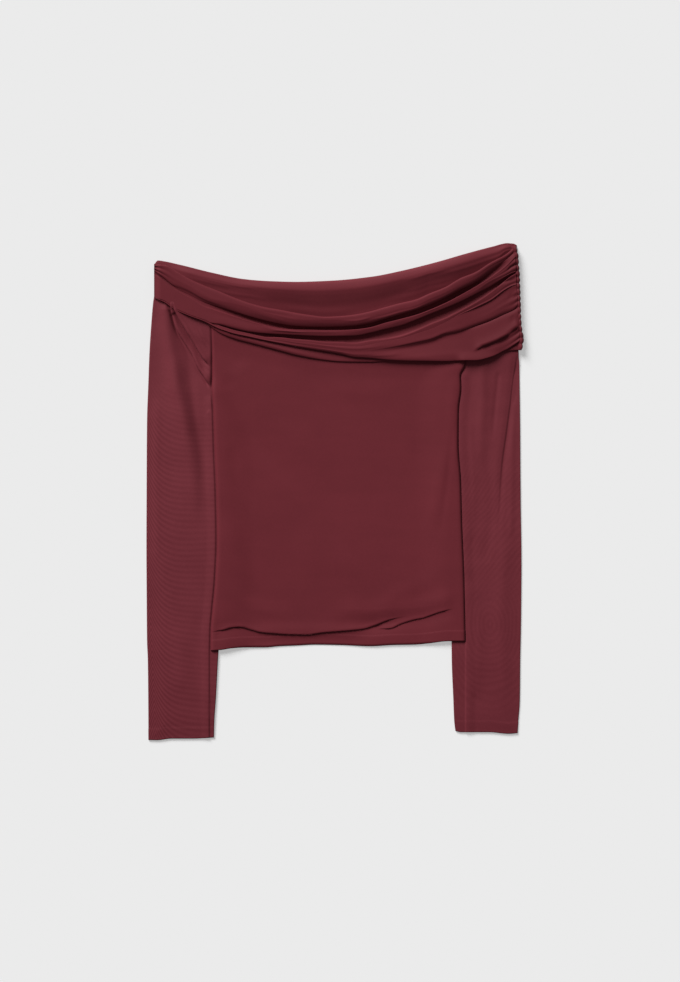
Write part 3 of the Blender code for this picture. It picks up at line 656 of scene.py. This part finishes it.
print("sleeves")
sleeves = {
    "cuffTurn": 14,  # how far the cuffs are turned in
    "edgeSink": 0.95,  # how far the front wall sinks towards the outer edge and the cuff
    "besideBody": 1,  # how far it swells up beside the body's edge
    "rightPleats": [
        {
            "path": [
                (-208, 240), (-204, 224), (-198.5, 204), (-188.5, 187), (-179, 171.5),
                (-171.8, 155.5), (-164.3, 144.5), (-156.5, 131),
            ],
            "rise": 3.1, "lean": 1.2, "lip": 1.9, "fade": 12, "dip": 2.4, "taper": (0.02, 0.12),
        },
        {
            "path": [
                (-208, 241), (-200, 226), (-194, 214.5), (-185, 199.5), (-176.5, 185.5),
                (-167.5, 170.5), (-157, 156.5),
            ],
            "rise": 2.6, "lean": 1.2, "lip": 1.9, "fade": 7, "dip": 2.4, "taper": (0.02, 0.15),
        },
    ],
    "rightSoft": [
        softFold(1.7, 12, (0.25, 0.5), (-206, 180), (-203.5, 150), (-201, 115), (-197, 77), (-190, 20),
                 (-186, -60)),
        softFold(3.9, 9.5, (0.05, 0.55), (-211, 236), (-209.7, 208.4), (-207.8, 192.2), (-205.3, 177.2),
                 (-201.6, 162.2), (-197.2, 132.2), (-193, 114.7), (-185.6, 77.2), (-177, 20), (-174, -60)),
        softFold(-0.8, 6, (0.1, 0.5), (-186, 200), (-176, 100), (-167, 46), (-165, 10), (-165, -60)),
        softFold(-0.9, 4.5, (0.05, 0.2), (-206, 228), (-200, 203), (-191, 186), (-182, 171), (-174, 155),
                 (-162, 136)),
        softFold(-1.7, 3.4, (0.03, 0.15), (-202, 222), (-194, 207), (-184.6, 191), (-175, 175), (-166, 158),
                 (-159, 147)),
        softFold(0.75, 1.8, (0.5, 0.5), (-191, 214), (-180, 196), (-170, 184)),
        softFold(0.7, 1.8, (0.5, 0.5), (-184, 212), (-172, 194), (-162, 182)),
        softFold(0.65, 1.7, (0.5, 0.5), (-177, 208), (-168, 192), (-159, 176)),
        softFold(0.6, 1.6, (0.5, 0.5), (-171, 206), (-163, 192), (-157, 184)),
        softFold(0.5, 6, (0.12, 0.12), (-222, 120), (-224, 20), (-222, -90)),
        softFold(0.4, 3, (0.12, 0.12), (-160, 100), (-154, 96), (-150, 88)),
        softFold(0.6, 10, (0.12, 0.12), (-210, -120), (-196, -180), (-192, -250)),
        softFold(-0.4, 8, (0.12, 0.12), (-168, -150), (-174, -200), (-170, -270)),
    ],
    "leftPleats": [
        {"path": [(200.9, -67.8), (204.3, -22.8), (207.7, 28.8), (214.7, 80.9), (221.6, 132.8), (226.8, 171)],
         "rise": 0.8, "lean": 0.3, "lip": 3.4, "fade": 8, "taper": (0.55, 0.05)},
    ],
    "leftSoft": [
        softFold(-1.3, 5, (0.5, 0.05), (201, -67.8), (205, -22.8), (208.7, 28.8), (215.7, 80.9),
                 (222.6, 132.8), (227, 171)),
        softFold(1.1, 7, (0.1, 0.5), (184, 165), (184, 110), (182, 70), (180, 10)),
        softFold(-0.6, 3.2, (0.1, 0.4), (204.3, 150), (199, 98), (196, 60)),
        softFold(0.5, 6, (0.12, 0.12), (168, 90), (172, 20), (168, -60)),
        softFold(-0.5, 7, (0.12, 0.12), (190, 60), (196, -20), (186, -90)),
        softFold(0.5, 4, (0.12, 0.12), (222, 120), (221, 40), (219, -60)),
        softFold(0.6, 9, (0.12, 0.12), (214, -60), (206, -160), (214, -250)),
        softFold(0.6, 8, (0.12, 0.12), (170, -110), (178, -180), (172, -260)),
    ],
}


# A flattened tube: its rings run over the front wall, round the outer edge, over the back wall,
# and round the inner edge as far up as the underarm.
def sleeve(name, inner, outer, side, cuff, underarm, turn, soft, pleats, material, topLevel):
    inset = (cloth["layer"] + cloth["wall"]) / 2
    steps = np.concatenate([np.linspace(0, 20, 16), [23, 27, 33]])
    levels = np.concatenate([np.linspace(-260, 90, 108), np.linspace(91.5, topLevel, 104)])

    def near(y):
        # Towards the underarm the tube's inner edge moves under the body's edge.
        closed = ramp(y, underarm - 12, -30)
        tube = inner(np.minimum(y, underarm)) + turn * inset
        openEdge = side(y) - turn * 4
        return closed * tube + (1 - closed) * openEdge

    def far(y):
        return outer(y) - turn * inset

    walls = []
    for seam, count in ((frontSeam, 100), (backSeam, 12)):
        across = np.concatenate([[0, 0.012, 0.03], np.linspace(0.05, 0.95, count), [0.975, 0.99, 1]])
        rows = rowsBetween(cuff, lambda q, f=seam: f(q) - 1, steps, levels, [0.2, 0.4, 0.6, 0.8, 1])
        walls.append(netOf(near, far, across, rows))
    (fx, fy), (kx, ky) = walls
    rows = fx.shape[1]
    above = fy - cuff(fx)
    toFold = np.minimum(turn * (far(fy) - fx), above)
    fz = frontLevel(fx, fy) - sleeves["edgeSink"] * (1 - smooth(toFold / 24)) * ramp(fy, 190, -60)
    fz = fz + 0.30 * ramp(above, sleeves["cuffTurn"] + 1, -2)
    # The front wall tucks under the body's edge along the armhole.
    tuck = ramp(np.abs(fx - side(fy)), 3.5, -3) * ramp(fy - underarm, -2, 8)
    fz = fz - 0.75 * tuck
    # Below the underarm it swells up beside the body's edge, with a groove between them.
    beside = turn * (fx - side(fy))
    lower = ramp(fy, underarm - 4, -14)
    fz = fz + sleeves["besideBody"] * ramp(beside, 14, -11) * lower
    groove = ramp(beside, 2.6, -1.4) * 1.15 if turn < 0 else ramp(beside, 0.8, -1.2)
    fz = fz - sleeves["besideBody"] * groove * lower
    front = addFolds(np.stack([fx, fy, fz], axis=-1), soft)
    front = addFolds(front, pleats)
    front = addSwell(front, 90, 0.22, 7 if turn > 0 else 9)
    # What lies under the body's edge stays flat.
    hidden = ramp(turn * (front[..., 0] - side(front[..., 1])), 2.2, -2.4)
    hidden = hidden * ramp(fy - underarm, -30, 14)
    front[..., 2] = front[..., 2] * (1 - hidden) + (fz - 0.2) * hidden
    front[..., 2] = np.where(fz > 0.95, np.maximum(front[..., 2], 0.95), front[..., 2])
    back = np.stack([kx, ky, backLevel(kx, ky)], axis=-1)
    last = int(np.sum(fy[0] <= underarm))

    def roundEdge(upper, lower, away):
        ring = []
        for angle in np.radians([30, 60, 90, 120, 150]):
            mix = (1 - np.cos(angle)) / 2
            point = upper * (1 - mix) + lower * mix
            point[:, 0] += away * np.sin(angle) * (upper[:, 2] - lower[:, 2]) / 2
            ring.append(point)
        return np.array(ring)

    ring = np.concatenate([
        front,
        roundEdge(front[-1], back[-1], turn),
        back[::-1],
        roundEdge(back[0], front[0], -turn),
    ])
    uv = gridLengths(ring)
    columns = len(ring)
    faces = gridFaces(columns, rows)
    # The strips round the inner edge stop at the underarm.
    place = faces[:, 0]
    innerFirst = columns - 6
    faces = faces[(place // rows < innerFirst) | (place % rows < last - 1)]
    j = np.arange(last - 1)
    closing = np.stack([(columns - 1) * rows + j, j, j + 1, (columns - 1) * rows + j + 1], axis=1)
    faces = np.vstack([faces, closing])
    if turn < 0:
        faces = faces[:, ::-1]
    flat = ring.reshape(-1, 3)
    used = np.unique(faces)
    renumber = np.full(len(flat), -1)
    renumber[used] = np.arange(len(used))
    piece = meshPiece(name + "_shell", flat[used], renumber[faces], uv.reshape(-1, 2)[used], material)
    dress(piece, name)
    return front


rightFront = sleeve(
    "sleeve_right", rightInner, rightOuter, bodyRight, rightCuff, cloth["underarmRight"], -1,
    sleeves["rightSoft"], sleeves["rightPleats"], rightSleeveMesh, 228,
)
leftFront = sleeve(
    "sleeve_left", leftInner, leftOuter, bodyLeft, leftCuff, cloth["underarmLeft"], 1,
    sleeves["leftSoft"], sleeves["leftPleats"], leftSleeveMesh, 242,
)

print("neckline band")
drape = {
    "rollHeight": 9.2,  # of the rolled top edge over the layers below
    "ridge1": 7.6,  # of the next fold
    "ridge2": 6.8,  # and of the one after it
    "creaseFloor": 0.6,
    "edgeHeight": 4.3,
    "columns": 240,  # points along the band
    "rowsPerKey": 5,
    "channelX": 225.6,  # where the band meets its side channel
    "channelLow": 176.8,  # the channel's lower end
    "channelHigh": 306,  # and its upper end
    "gathers": 17,
    "gatherHeight": 1.7,
    "wrinkleHeight": 0.40,
    "creases": [
        {
            "path": [
                (172.4, 173.7), (180.4, 179.6), (192.6, 184.8), (203.7, 189.4), (212.7, 194.3), (218.2, 198),
                (223.8, 201.9), (229, 205),
            ],
            "rise": 2.6, "lean": 1.4, "lip": 2.4, "fade": 6, "taper": (0.22, 0.04),
        },
        softFold(-1.2, 1.5, (0.5, 0.05), (200, 252.5), (207, 259.7), (214.7, 262.9), (225, 265.4)),
        softFold(-1.2, 1.3, (0.5, 0.05), (213.8, 274), (218.2, 279.7), (226.5, 284.5)),
        softFold(-0.9, 1.3, (0.5, 0.05), (210, 241.3), (217, 243), (226.5, 244.4)),
        softFold(-0.9, 1.3, (0.5, 0.05), (208, 212), (216, 214.3), (228.5, 216.5)),
    ],
}


def sectionKeys(x):
    lines = [band[name](x) for name in bandNames[1:11]]
    top, fall1, lip1, rise1, fall2, lip2, rise2, c3, c4, edge = lines
    roll = top - lip1
    gap1 = lip1 - rise1
    gap2 = lip2 - rise2
    wide = ramp(rise2, edge, 12)
    deep1 = ramp(x, -185, 70)
    deep2 = ramp(x, -158, 18)
    deep3 = ramp(x, 148, 36)
    deep4 = ramp(x, 34, 80)
    high = drape["edgeHeight"] + 0.9 * ramp(x, -165, 40) * ramp(x, 214, -20)
    rise = drape["rollHeight"] * (0.56 + 0.44 * ramp(x, -205, 120))
    rise *= 1 - 0.42 * ramp(x, 184, 36)
    soft = ramp(x, -206, 14) * (1 - deep1)
    ridge1 = 4.8 + (drape["ridge1"] - 4.8) * ramp(x, -175, 90)
    end1 = rise - min(0.42 * rise, 0.5 * (fall1 - lip1))
    floor1 = drape["creaseFloor"] * deep1 + (end1 - 1.4) * (1 - deep1)
    floor1 += 3 * ramp(x, 152, 46)
    end2 = ridge1 - min(0.3 * ridge1, 0.45 * (fall2 - lip2))
    floor2 = drape["creaseFloor"] * deep2 + (end2 - 0.4) * (1 - deep2)
    floor2 += 1.3 * ramp(x, 150, 40)
    ridge2 = (high + (drape["ridge2"] - high) * wide) * deep2 + (end2 - 0.3) * (1 - deep2)
    step3 = ridge2 - 1.9 * deep3
    drop4 = deep4 * (0.66 + 0.44 * ramp(x, 140, 50))
    middle = 0.5 * (high + ridge2) + 0.2
    end4 = 0.97 * step3 * deep4 + (ridge2 - 0.3 * (ridge2 - high)) * (1 - deep4)
    return np.array([
        (frontSeam(x) + 0.3, 0),
        (top - 0.35 * roll, 0.35),
        (top - 0.07 * roll, 0.28 * rise),
        (top, 0.56 * rise),
        (top - 0.35, 0.90 * rise),
        (top - 0.20 * (top - fall1) - 0.4, rise),
        (top - 0.70 * (top - fall1), rise),
        (fall1, 0.97 * rise),
        (0.5 * fall1 + 0.5 * lip1, 0.6 * rise + 0.4 * end1),
        (lip1 + 0.5 + 1.6 * soft, end1 + 0.10 * (rise - end1)),
        (lip1 - 0.1 + 0.4 * soft, end1 - 0.9 + 0.2 * soft),
        (lip1 + 0.9 * deep1 - 1 * soft, floor1 + 0.8 * deep1 + 0.3),
        (lip1 - 0.18 * gap1, floor1),
        (rise1 + 0.20 * gap1, floor1),
        (rise1 + 0.1, 0.65 * floor1 + 0.35 * ridge1),
        (rise1 - 0.15, 0.06 * floor1 + 0.94 * ridge1),
        (rise1 - 0.9, ridge1),
        (0.5 * (rise1 + fall2) - 0.2, 0.985 * ridge1),
        (fall2, 0.95 * ridge1),
        (lip2 + 0.4, end2 + 0.15),
        (lip2 - 0.1, end2 - 0.9 * deep2),
        (lip2 + 0.8 * deep2, floor2 + 0.8 * deep2),
        (lip2 - 0.18 * gap2, floor2),
        (rise2 + 0.28 * gap2, floor2),
        (rise2 + 0.3, 0.82 * floor2 + 0.18 * ridge2),
        (rise2 - 0.05, 0.12 * floor2 + 0.88 * ridge2),
        (rise2 - 0.8 * wide - 0.25, ridge2),
        (c3 + 2.2 * wide * deep3 + 0.1, (0.985 - 0.09 * ramp(x, 60, 60)) * ridge2),
        (c3 + 0.3 * deep3, ridge2 - 0.6 * deep3),
        (c3 - 0.4 * deep3 - 0.1, step3 - 0.2 * deep3),
        (0.5 * c3 + 0.5 * c4, step3 + 0.1 * deep3),
        (c4 + 0.35 * (0.5 * (c3 - c4)), 0.4 * step3 + 0.6 * end4),
        (c4 + 0.5 * deep4, end4 - 1.3 * drop4),
        (c4 - 0.5 * deep4 - 0.1, end4 - 2.5 * drop4),
        (c4 - 3.8 * deep4 - 0.2 * (1 - deep4) * (c4 - edge), 3.6 * deep4 + middle * (1 - deep4)),
        (0.45 * c4 + 0.55 * edge, 4.5 * deep4 + middle * (1 - deep4)),
        (edge + 0.22 * (c4 - edge), high + 0.45 - 0.35 * deep4),
        (edge + 0.07 * (c4 - edge) + 0.3, high + 0.1),
        (edge, high - 0.45),
        (edge + 0.8, high - 1),
        (edge + 4, high - 1.05),
    ])


# A curve through a section's keys that may turn back under itself.
def curveThrough(keys, steps):
    padded = np.vstack([2 * keys[0] - keys[1], keys, 2 * keys[-1] - keys[-2]])
    i = np.clip(steps.astype(int), 0, len(keys) - 2)
    t = (steps - i)[:, None]
    a, b, c, d = padded[i], padded[i + 1], padded[i + 2], padded[i + 3]
    return 0.5 * (2 * b + (c - a) * t + (2 * a - 5 * b + 4 * c - d) * t**2 + (3 * b - a - 3 * c + d) * t**3)


def frontDrape():
    rng = np.random.default_rng(11)
    lastKey = len(sectionKeys(0)) - 1
    rowCount = lastKey * drape["rowsPerKey"] + 1
    steps = np.linspace(0, lastKey, rowCount)
    left = -226 + 12 * np.linspace(0, 1, 18)[:-1] ** 1.6
    middle = np.linspace(-214, 200, drape["columns"] - 62)
    right = np.linspace(200, drape["channelX"], 46)[1:]
    xs = np.concatenate([left, middle, right])
    sections = np.array([curveThrough(sectionKeys(x), steps) for x in xs])
    y = sections[..., 0]
    h = sections[..., 1]
    x = np.repeat(xs[:, None], rowCount, axis=1)
    # Fine wrinkles that run along the band and die out.
    for _ in range(26):
        row = rng.choice([6.5, 7.3, 16.8, 17.6, 27.2, 29.5, 30.6, 34.3, 35.2, 36]) + rng.uniform(-0.4, 0.4)
        start = rng.uniform(-210, 150)
        long = rng.uniform(40, 150)
        drift = rng.uniform(-1.2, 1.2)
        share = (x - start) / long
        centre = row + drift * share
        fade = smooth(share * 3) * smooth((1 - share) * 3)
        rise = rng.uniform(-0.6, 1) * drape["wrinkleHeight"]
        h = h + rise * fade * np.exp(-(((steps - centre) / 0.55) ** 2))
    # The left end draws in to a small knot of pleats at its upper corner.
    ending = np.exp(-(x + 226) / 8)
    knot = ramp(steps, 17, -4) * ramp(steps, 2.5, 1)
    pleat = (np.abs(np.sin(steps * math.pi / 1.9)) - 0.55) * knot
    end = ramp(x, -226.5, 9)
    h = h * (0.42 + 0.58 * end) + 3.2 * pleat * ending
    y = y + (280.5 - y) * 0.35 * knot * ending
    # The right end is gathered along the channel's seam.
    near = ramp(x, 205, 20.6)
    flatten = np.where(steps > 11.5, near * 0.45, 0)
    h = h * (1 - flatten) + (drape["edgeHeight"] + 0.6) * flatten
    h = h * (1 - 0.4 * ramp(x, 200, 24) * ramp(steps, 13, -3))
    phase = (y[-1] - drape["channelLow"]) / (drape["channelHigh"] - drape["channelLow"]) * drape["gathers"]
    reach = 5 + 11 * (0.5 + 0.5 * np.sin(np.floor(phase) * 2.4 + 1))
    gather = (np.abs(np.sin(math.pi * phase)) - 0.6) * np.where((steps > 3.5) & (steps < 38.5), 1, 0)
    h = h + drape["gatherHeight"] * gather * np.exp(-(drape["channelX"] - x) / reach)
    px = x + (channelSeam(y) - 0.3 - drape["channelX"]) * near
    points = addFolds(np.stack([px, y, ground(px, y) + h], axis=-1), drape["creases"])
    piece = gridPiece("front_drape_shell", points, drapeMesh, turned=True)
    dress(piece, "front_drape")


frontDrape()


def frontUnderlayer():
    xs = np.concatenate([np.linspace(-222, 215, 190), np.linspace(217, 229.6, 12)])
    low = band["under"](xs)
    edge = band["edge"](xs)
    high = np.maximum(edge, low) + 8
    shows = ramp(edge, low, 6) * ramp(xs, -160, 30) * (1 - 0.95 * ramp(xs, -60, 60))
    keys = np.array([
        (high, np.full_like(xs, 2)),
        (high * 0.6 + low * 0.4, 2 + 0.3 * shows),
        (low + 3.8, 2.2 + 1.3 * shows),
        (low + 1.3, 2.2 + shows),
        (low + 0.1, 1.9 + 0.5 * shows),
        (low + 0.5, np.full_like(xs, 1.15)),
        (low + 3, np.full_like(xs, 1.05)),
    ])
    steps = np.linspace(0, 6, 37)
    points = []
    for k, x in enumerate(xs):
        section = curveThrough(keys[:, :, k], steps)
        across = np.full(len(steps), x)
        y = section[:, 0]
        points.append(np.stack([across, y, ground(across, y) + section[:, 1]], axis=-1))
    piece = gridPiece("front_underlayer_shell", np.array(points), drapeMesh, wall=0.4, turned=True)
    dress(piece, "front_underlayer")


frontUnderlayer()


def backDrape():
    xs = np.concatenate([[-226.2, -225.6, -224.8, -223.6, -222, -220], np.linspace(-217, 214, 190),
                         [216, 218, 220, 222, 223.6, 225, 226, 226.8]])
    steps = np.linspace(0, 12, 97)
    floor = cloth["floorMiddle"]
    level = 2.95  # how high the inside of the back lies at the seam
    points = []
    for x in xs:
        low = band["behind"](x)
        top = backTop(x) - 0.25
        ends = ramp(abs(x), 203, 10)
        seam = backSeam(x) + ends * max(0, frontSeam(x) - backSeam(x))
        room = ramp(top - band["top"](x), 4, 14)
        radius = 1 + 2 * room
        inside = min(seam, top - 5) - 2.4
        inside += (min(inside, band["top"](x) - 3) - inside) * room
        reach = (top - inside) / 46
        high = floor + 3.5 * radius * (1 - 0.34 * ramp(x, -50, -90))
        high = high - 0.42 * (high - floor) * ramp(x, 150, 64)
        keys = np.array([
            (low, floor),
            (low * 0.5 + (top - 6) * 0.5, floor),
            (top - 2.2 * radius - 2, floor),
            (top - 0.5 * radius, floor + 0.30 * radius),
            (top, floor + 0.8 * radius),
            (top - 0.5, floor + 0.35 * radius + 0.52 * (high - floor)),
            (top - 3.5 * reach, high - 0.50 * radius),
            (top - 10 * reach, high),
            (top - 15 * reach, 0.91 * high + 0.09 * level),
            (top - 22 * reach, 0.66 * high + 0.34 * level),
            (top - 31 * reach, 0.31 * high + 0.69 * level),
            (inside + 5 * reach, 0.07 * high + 0.93 * level),
            (inside, level),
        ])
        section = curveThrough(keys, steps)
        points.append(np.stack([np.full(len(steps), x), section[:, 0], section[:, 1]], axis=-1))
    points = np.array(points)
    # Long shallow pulls that run across the inside.
    rng = np.random.default_rng(5)
    inward = ramp(steps, 6, 1) * ramp(steps, 11.8, -0.8)
    for _ in range(9):
        row = rng.uniform(6.5, 11.3)
        start = rng.uniform(-200, 120)
        share = (points[..., 0] - start) / rng.uniform(60, 150)
        fade = smooth(share * 3) * smooth((1 - share) * 3)
        points[..., 2] += 0.32 * fade * inward * np.exp(-(((steps - row) / 0.35) ** 2))
    piece = gridPiece("back_drape_shell", points, insideMesh)
    dress(piece, "back_drape")


backDrape()


def sideGather():
    rows = drape["gathers"] * 12 + 1
    t = np.linspace(0, 1, rows)
    y = drape["channelLow"] + (drape["channelHigh"] - drape["channelLow"]) * t
    wave = np.abs(np.sin(math.pi * drape["gathers"] * t))
    uneven = 0.75 + 0.25 * np.sin(t * 41)
    seam = channelSeam(y)
    outer = channelOuter(y) - 0.25 - 1.3 * (1 - wave) * uneven
    level = ground(seam, y)
    high = drape["edgeHeight"]
    keys = np.array([
        (seam - 3.2, level + high - 2.6),
        (seam - 0.2, level + high - 0.5 + 0.9 * wave),
        (seam + 0.7, level + high - 0.2 + 1.2 * wave),
        (seam * 0.45 + outer * 0.55, level + high + 0.1 + 1.5 * wave * uneven),
        (outer - 0.8, level + high - 1.6 + wave),
        (outer, level * 0.6 + 2.3),
        (outer - 0.4, level * 0.3 + 1.6),
        (outer - 1.6, np.full(rows, 1.3)),
        (outer - 3, np.full(rows, 0.95)),
    ])
    steps = np.linspace(0, 8, 33)
    points = []
    for k in range(rows):
        section = curveThrough(keys[:, :, k], steps)
        points.append(np.stack([section[:, 0], np.full(len(steps), y[k]), section[:, 1]], axis=-1))
    piece = gridPiece("side_gather_shell", np.array(points).transpose(1, 0, 2), drapeMesh)
    dress(piece, "side_gather")


sideGather()

print("stitches")
stitching = {"length": 2, "pitch": 2.9, "width": 0.34, "height": 0.22}


# A row of small raised stitches laid on a sheet's outer side along a line.
def stitchRow(name, line, sheetPoints):
    flat = sheetPoints.reshape(-1, 3)
    tree = kdtree.KDTree(len(flat))
    for i, p in enumerate(flat):
        tree.insert((p[0], p[1], 0), i)
    tree.balance()
    line = np.asarray(line, dtype=float)
    t = np.concatenate([[0], np.cumsum(np.hypot(*np.diff(line, axis=0).T))])
    points = []
    faces = []
    for start in np.arange(1, t[-1] - stitching["length"], stitching["pitch"]):
        ends = []
        for s in (start, start + stitching["length"]):
            x = np.interp(s, t, line[:, 0])
            y = np.interp(s, t, line[:, 1])
            _, index, _ = tree.find((x, y, 0))
            ends.append(np.array([x, y, flat[index, 2] + cloth["wall"] / 2]))
        first, last = ends
        along = (last - first) / np.linalg.norm(last - first)
        side = np.array([-along[1], along[0], 0])
        up = np.array([0, 0, 1])
        base = len(points)
        points.append(first - up * 0.02)
        for end in (0.25, 0.75):
            place = first + (last - first) * end
            for angle in np.radians([0, 60, 120, 180, 240, 300]):
                around = side * math.cos(angle) * stitching["width"] / 2
                points.append(place + around + up * (math.sin(angle) * stitching["height"] / 2 + 0.06))
        points.append(last - up * 0.02)
        for k in range(6):
            n = (k + 1) % 6
            faces.append((base, base + 1 + n, base + 1 + k))
            faces.append((base + 1 + k, base + 1 + n, base + 7 + n, base + 7 + k))
            faces.append((base + 13, base + 7 + k, base + 7 + n))
    mesh = bpy.data.meshes.new(name)
    mesh.from_pydata((np.array(points) * 0.001).tolist(), [], faces)
    mesh.uv_layers.new(name="cloth")
    for polygon in mesh.polygons:
        polygon.use_smooth = True
    mesh.materials.append(threadCloth)
    piece = linked(name, mesh)
    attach(piece, "root")


def lineAbove(edge, height, start, end, count):
    return [(x, edge(x) + height) for x in np.linspace(start, end, count)]


hemRow = lineAbove(hemLine, bodyPanels["hemTurn"], -153, 159.5, 60)
stitchRow("hem_stitches", hemRow, frontPoints)
rightRow = lineAbove(rightCuff, sleeves["cuffTurn"], -231.5, -152, 20)
stitchRow("right_cuff_stitches", rightRow, rightFront)
leftRow = lineAbove(leftCuff, sleeves["cuffTurn"], 151.5, 226.5, 20)
stitchRow("left_cuff_stitches", leftRow, leftFront)

print("floor, light and camera")
studio = {
    "floorColour": (0.45, 0.45, 0.45, 1.0),
    "floorGlow": 0.378,  # the lit backdrop that keeps the shadows on it faint
    "world": 0.18,
    "key": 4.892,
    "keySpread": 28,  # degrees, as of a large soft box
    "keyHeight": 32,  # degrees over the floor
    "keyTurn": 32,  # degrees to the left of straight above in the picture
    "viewHeight": 1.2275,  # how much of the floor the picture's height takes in
    "middle": (0.0059, 0.0009),
    "distance": 3.2,
}

bpy.ops.mesh.primitive_plane_add(size=9, location=(0, 0, -0.0002))
floor = bpy.context.object
floor.name = "floor_plane"
build = Build("pale_floor")
build.feed("Base Color", studio["floorColour"])
build.feed("Roughness", 0.9)
build.feed("Specular IOR Level", 0)
build.feed("Emission Color", (1.0, 1.0, 1.0, 1.0))
build.feed("Emission Strength", studio["floorGlow"])
floor.data.materials.append(build.material)

world = bpy.data.worlds.new("studio")
bpy.context.scene.world = world
world.use_nodes = True
background = world.node_tree.nodes["Background"]
background.inputs["Color"].default_value = (1.0, 1.0, 1.0, 1.0)
background.inputs["Strength"].default_value = studio["world"]

key = bpy.data.lights.new("key", "SUN")
key.angle = math.radians(studio["keySpread"])
key.energy = studio["key"]
lamp = linked("key", key)
up = math.radians(studio["keyHeight"])
turn = math.radians(studio["keyTurn"])
reach = 3 * math.cos(up)
lamp.location = (-math.sin(turn) * reach, math.cos(turn) * reach, math.sin(up) * 3)
lamp.rotation_euler = (-lamp.location).to_track_quat("-Z", "Y").to_euler()

camera = bpy.data.cameras.new("camera")
camera.sensor_fit = "VERTICAL"
camera.sensor_height = 36
camera.sensor_width = 36
camera.lens = 36 * studio["distance"] / studio["viewHeight"]
eye = linked("camera", camera)
eye.location = (studio["middle"][0], studio["middle"][1], studio["distance"])
bpy.context.scene.camera = eye
bpy.context.scene.view_settings.view_transform = "Standard"
bpy.context.scene.view_settings.look = "None"

print("done")
